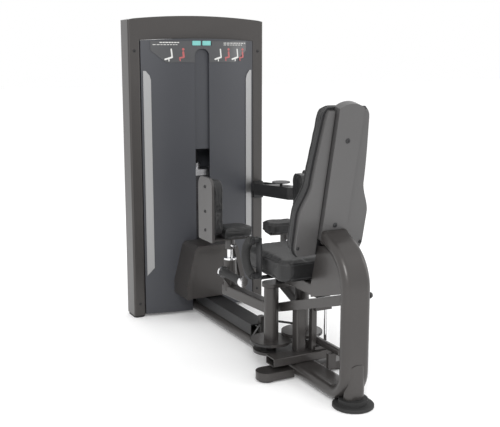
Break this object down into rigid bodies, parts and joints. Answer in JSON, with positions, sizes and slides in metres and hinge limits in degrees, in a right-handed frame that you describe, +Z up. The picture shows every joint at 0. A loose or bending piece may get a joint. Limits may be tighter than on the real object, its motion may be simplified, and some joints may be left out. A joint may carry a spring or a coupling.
{
  "type": "hip abductor machine",
  "caption": "Selectorised hip abductor: arched weight tower, flat-oval base and column, leaning back and seat, two swinging leg arms with swivelling thigh pads on chrome posts.",
  "frame": {"origin": "on the floor, below the middle of the bounding box", "axes": "+Y from the seat towards the weight tower (longest side), +X to the right when facing the tower, +Z up"},
  "size_m": [0.728, 1.64, 1.5],
  "materials": {
    "frame_paint": "satin metallic powder coat",
    "shroud_plastic": "satin moulded",
    "trim_silver": "satin anodised",
    "placard_print": "printed panel",
    "display": "display window",
    "black_plastic": "fine texture",
    "rubber_black": "matte",
    "chrome": "polished",
    "steel": "ground",
    "dark_steel": "blackened, satin",
    "iron": "black coated",
    "bronze": "sintered",
    "upholstery": "grained vinyl",
    "back_shell": "satin moulded",
    "pad_plate": "satin",
    "cable": "coated",
    "knob": "gloss"
  },
  "bodies": {
    "root": {"left_upright": "frame_paint", "right_upright": "frame_paint", "top_beam": "frame_paint", "tower_base_beam": "frame_paint", "feet": "rubber_black", "front_shroud": "shroud_plastic", "rear_shroud": "shroud_plastic", "shroud_trims": "trim_silver", "placard": "placard_print", "counter_displays": "display", "bottle_tray": "black_plastic", "guide_rods": "chrome", "stack_bumpers": "rubber_black", "resting_plates": "iron", "pulley_mounts": "dark_steel", "foot_housing": "frame_paint", "drive_cable": "cable", "arm_belts": "cable", "base_tube": "frame_paint", "rear_leg": "frame_paint", "cross_foot": "frame_paint", "raceway_cover": "black_plastic", "cross_socket": "frame_paint", "hub_shafts": "dark_steel", "seat_beam": "frame_paint", "brace_tube": "frame_paint", "seat_gussets": "frame_paint", "side_rail": "frame_paint", "seat_plate": "steel", "seat_cushion": "upholstery", "hand_bars": "black_plastic", "hand_grips": "rubber_black", "back_board": "black_plastic", "back_cushion": "upholstery", "back_shells": "back_shell", "back_spine": "back_shell", "frame_bolts": "black_plastic"},
    "weight_carriage": {"lifted_plates": "iron", "selector_stem": "steel"},
    "pin_slider": {"selector_pin": "knob"},
    "top_wheel": {"top_pulley": "black_plastic"},
    "low_wheel": {"low_pulley": "black_plastic"},
    "yoke_slider": {"cable_yoke": "dark_steel"},
    "left_leg_arm": {"left_arm": "frame_paint", "left_bushes": "bronze", "left_post": "chrome", "left_peg": "rubber_black"},
    "right_leg_arm": {"right_arm": "frame_paint", "right_bushes": "bronze", "right_post": "chrome", "right_peg": "rubber_black"},
    "left_pad_carrier": {"left_pad_frame": "pad_plate", "left_side_pad": "upholstery", "left_under_pad": "upholstery"},
    "right_pad_carrier": {"right_pad_frame": "pad_plate", "right_side_pad": "upholstery", "right_under_pad": "upholstery"},
    "left_pad_lock": {"left_pad_pin": "chrome"},
    "right_pad_lock": {"right_pad_pin": "chrome"},
    "range_lock": {"range_rod": "chrome"}
  },
  "joints": [
    {"name": "left_arm_swing", "type": "hinge", "parent": "root", "child": "left_leg_arm", "pos_m": [-0.075, -0.225, 0.26], "axis": [0, 0, 1], "range_deg": [0, 45]},
    {"name": "right_arm_swing", "type": "hinge", "parent": "root", "child": "right_leg_arm", "pos_m": [0.075, -0.225, 0.26], "axis": [0, 0, 1], "range_deg": [-45, 0]},
    {"name": "weight_lift", "type": "slide", "parent": "root", "child": "weight_carriage", "axis": [0, 0, 1], "range_m": [0, 0.0696], "deforming": ["drive_cable"]},
    {"name": "yoke_slide", "type": "slide", "parent": "root", "child": "yoke_slider", "axis": [0, -1, 0], "range_m": [0, 0.0696], "deforming": ["arm_belts"]},
    {"name": "selector_pin_pull", "type": "slide", "parent": "weight_carriage", "child": "pin_slider", "axis": [0, -1, 0], "range_m": [0, 0.055]},
    {"name": "top_pulley_spin", "type": "hinge", "parent": "root", "child": "top_wheel", "pos_m": [0, 0.76, 1.28], "axis": [-1, 0, 0], "range_deg": [0, 107.2]},
    {"name": "low_pulley_spin", "type": "hinge", "parent": "root", "child": "low_wheel", "pos_m": [0, 0.76, 0.117], "axis": [-1, 0, 0], "range_deg": [0, 107.2]},
    {"name": "range_rod_pull", "type": "slide", "parent": "root", "child": "range_lock", "axis": [0, 0, 1], "range_m": [0, 0.012], "stiffness_N_per_m": 300},
    {"name": "left_pad_swivel", "type": "hinge", "parent": "left_leg_arm", "child": "left_pad_carrier", "pos_m": [-0.107, 0.11, 0.48], "axis": [0, 0, -1], "range_deg": [0, 180]},
    {"name": "right_pad_swivel", "type": "hinge", "parent": "right_leg_arm", "child": "right_pad_carrier", "pos_m": [0.17033, 0.09774, 0.48], "axis": [0, 0, 1], "range_deg": [0, 180]},
    {"name": "left_pad_pin_pull", "type": "slide", "parent": "left_pad_carrier", "child": "left_pad_lock", "axis": [0, -1, 0], "range_m": [0, 0.012], "stiffness_N_per_m": 300},
    {"name": "right_pad_pin_pull", "type": "slide", "parent": "right_pad_carrier", "child": "right_pad_lock", "axis": [-0.1908, -0.9816, 0], "range_m": [0, 0.012], "stiffness_N_per_m": 300}
  ],
  "couplings": [
    {"joint": "right_arm_swing", "follows": "left_arm_swing", "ratio": -1},
    {"joint": "weight_lift", "follows": "left_arm_swing", "m_per_rad": 0.088},
    {"joint": "yoke_slide", "follows": "left_arm_swing", "m_per_rad": 0.088},
    {"joint": "top_pulley_spin", "follows": "left_arm_swing", "ratio": 2.3784},
    {"joint": "low_pulley_spin", "follows": "left_arm_swing", "ratio": 2.3784}
  ]
}
